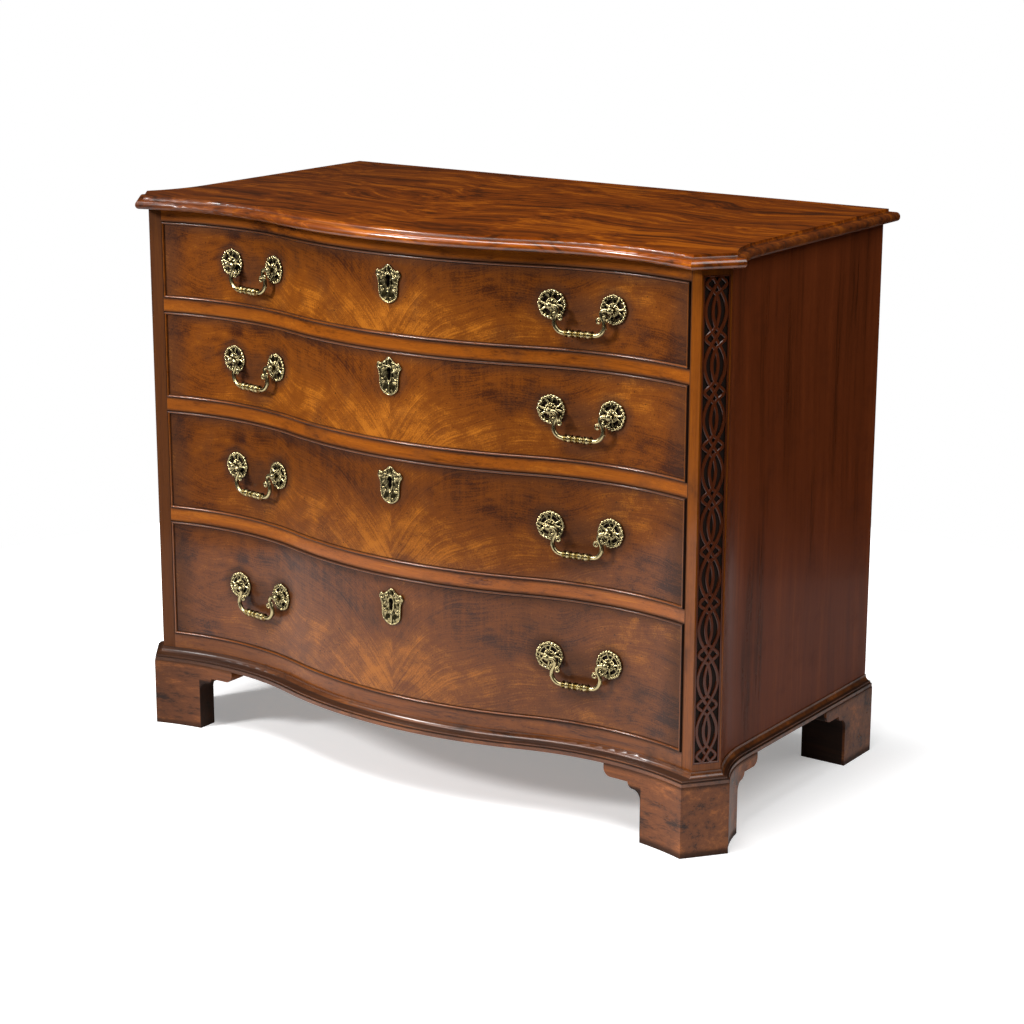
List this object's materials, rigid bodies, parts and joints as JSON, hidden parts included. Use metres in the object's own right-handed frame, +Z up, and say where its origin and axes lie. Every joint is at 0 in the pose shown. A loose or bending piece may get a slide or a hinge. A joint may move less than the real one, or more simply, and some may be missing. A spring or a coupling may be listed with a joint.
{
  "type": "serpentine chest of drawers",
  "caption": "Serpentine dressing chest with graduated drawers, canted fretted corners, moulded top and bracket feet; drawers slide, bail handles swing and locks throw.",
  "frame": {"origin": "floor level under the middle of the chest", "axes": "+X across the chest to its right as seen from the front, +Y to the back, +Z up"},
  "size_m": [1.0992, 0.616, 0.859],
  "materials": {
    "top_wood": "polished mahogany, straight figure",
    "case_wood": "satin mahogany",
    "post_wood": "satin mahogany",
    "fret_wood": "carved mahogany",
    "rail_wood": "polished mahogany",
    "moulding_wood": "polished mahogany",
    "foot_wood": "worn polished mahogany",
    "front_veneer": "polished flame mahogany veneer",
    "bead_wood": "polished mahogany",
    "drawer_wood": "planed oak",
    "inner_wood": "rough sawn pine and oak",
    "brass": "old lacquered brass",
    "lock_iron": "dark forged iron"
  },
  "bodies": {
    "carcass": {"top_board": "top_wood", "side_right": "case_wood", "side_left": "case_wood", "corner_posts": "post_wood", "corner_frets": "fret_wood", "top_rail": "rail_wood", "drawer_rails": "rail_wood", "bottom_rail": "rail_wood", "bottom_board": "inner_wood", "dust_boards": "inner_wood", "drawer_runners": "inner_wood", "drawer_stops": "inner_wood", "back_boards": "inner_wood", "base_moulding": "moulding_wood", "front_feet": "foot_wood", "rear_feet": "foot_wood"},
    "drawer_1": {"drawer_1_front": "front_veneer", "drawer_1_cock_bead": "bead_wood", "drawer_1_sides": "drawer_wood", "drawer_1_back": "drawer_wood", "drawer_1_bottom": "drawer_wood", "drawer_1_escutcheon": "brass", "drawer_1_lock_case": "lock_iron", "drawer_1_handle_mounts": "brass"},
    "drawer_1_bail_left": {"drawer_1_bail_left": "brass"},
    "drawer_1_bail_right": {"drawer_1_bail_right": "brass"},
    "drawer_1_lock_bolt": {"drawer_1_lock_bolt": "lock_iron"},
    "drawer_2": {"drawer_2_front": "front_veneer", "drawer_2_cock_bead": "bead_wood", "drawer_2_sides": "drawer_wood", "drawer_2_back": "drawer_wood", "drawer_2_bottom": "drawer_wood", "drawer_2_escutcheon": "brass", "drawer_2_lock_case": "lock_iron", "drawer_2_handle_mounts": "brass"},
    "drawer_2_bail_left": {"drawer_2_bail_left": "brass"},
    "drawer_2_bail_right": {"drawer_2_bail_right": "brass"},
    "drawer_2_lock_bolt": {"drawer_2_lock_bolt": "lock_iron"},
    "drawer_3": {"drawer_3_front": "front_veneer", "drawer_3_cock_bead": "bead_wood", "drawer_3_sides": "drawer_wood", "drawer_3_back": "drawer_wood", "drawer_3_bottom": "drawer_wood", "drawer_3_escutcheon": "brass", "drawer_3_lock_case": "lock_iron", "drawer_3_handle_mounts": "brass"},
    "drawer_3_bail_left": {"drawer_3_bail_left": "brass"},
    "drawer_3_bail_right": {"drawer_3_bail_right": "brass"},
    "drawer_3_lock_bolt": {"drawer_3_lock_bolt": "lock_iron"},
    "drawer_4": {"drawer_4_front": "front_veneer", "drawer_4_cock_bead": "bead_wood", "drawer_4_sides": "drawer_wood", "drawer_4_back": "drawer_wood", "drawer_4_bottom": "drawer_wood", "drawer_4_escutcheon": "brass", "drawer_4_lock_case": "lock_iron", "drawer_4_handle_mounts": "brass"},
    "drawer_4_bail_left": {"drawer_4_bail_left": "brass"},
    "drawer_4_bail_right": {"drawer_4_bail_right": "brass"},
    "drawer_4_lock_bolt": {"drawer_4_lock_bolt": "lock_iron"}
  },
  "joints": [
    {"name": "drawer_1_slide", "type": "slide", "parent": "carcass", "child": "drawer_1", "axis": [0, -1, 0], "range_m": [0, 0.38]},
    {"name": "drawer_1_bail_left_swing", "type": "hinge", "parent": "drawer_1", "child": "drawer_1_bail_left", "pos_m": [-0.3021, -0.24399, 0.7645], "axis": [-0.9908, 0.1355, 0], "range_deg": [-12, 180]},
    {"name": "drawer_1_bail_right_swing", "type": "hinge", "parent": "drawer_1", "child": "drawer_1_bail_right", "pos_m": [0.3021, -0.24399, 0.7645], "axis": [-0.9908, -0.1355, 0], "range_deg": [-12, 180]},
    {"name": "drawer_1_lock_bolt_throw", "type": "slide", "parent": "drawer_1", "child": "drawer_1_lock_bolt", "axis": [0, 0, 1], "range_m": [0, 0.009]},
    {"name": "drawer_2_slide", "type": "slide", "parent": "carcass", "child": "drawer_2", "axis": [0, -1, 0], "range_m": [0, 0.38]},
    {"name": "drawer_2_bail_left_swing", "type": "hinge", "parent": "drawer_2", "child": "drawer_2_bail_left", "pos_m": [-0.3021, -0.24399, 0.614], "axis": [-0.9908, 0.1355, 0], "range_deg": [-12, 180]},
    {"name": "drawer_2_bail_right_swing", "type": "hinge", "parent": "drawer_2", "child": "drawer_2_bail_right", "pos_m": [0.3021, -0.24399, 0.614], "axis": [-0.9908, -0.1355, 0], "range_deg": [-12, 180]},
    {"name": "drawer_2_lock_bolt_throw", "type": "slide", "parent": "drawer_2", "child": "drawer_2_lock_bolt", "axis": [0, 0, 1], "range_m": [0, 0.009]},
    {"name": "drawer_3_slide", "type": "slide", "parent": "carcass", "child": "drawer_3", "axis": [0, -1, 0], "range_m": [0, 0.38]},
    {"name": "drawer_3_bail_left_swing", "type": "hinge", "parent": "drawer_3", "child": "drawer_3_bail_left", "pos_m": [-0.3021, -0.24399, 0.444], "axis": [-0.9908, 0.1355, 0], "range_deg": [-12, 180]},
    {"name": "drawer_3_bail_right_swing", "type": "hinge", "parent": "drawer_3", "child": "drawer_3_bail_right", "pos_m": [0.3021, -0.24399, 0.444], "axis": [-0.9908, -0.1355, 0], "range_deg": [-12, 180]},
    {"name": "drawer_3_lock_bolt_throw", "type": "slide", "parent": "drawer_3", "child": "drawer_3_lock_bolt", "axis": [0, 0, 1], "range_m": [0, 0.009]},
    {"name": "drawer_4_slide", "type": "slide", "parent": "carcass", "child": "drawer_4", "axis": [0, -1, 0], "range_m": [0, 0.38]},
    {"name": "drawer_4_bail_left_swing", "type": "hinge", "parent": "drawer_4", "child": "drawer_4_bail_left", "pos_m": [-0.3021, -0.24399, 0.248], "axis": [-0.9908, 0.1355, 0], "range_deg": [-12, 180]},
    {"name": "drawer_4_bail_right_swing", "type": "hinge", "parent": "drawer_4", "child": "drawer_4_bail_right", "pos_m": [0.3021, -0.24399, 0.248], "axis": [-0.9908, -0.1355, 0], "range_deg": [-12, 180]},
    {"name": "drawer_4_lock_bolt_throw", "type": "slide", "parent": "drawer_4", "child": "drawer_4_lock_bolt", "axis": [0, 0, 1], "range_m": [0, 0.009]}
  ]
}
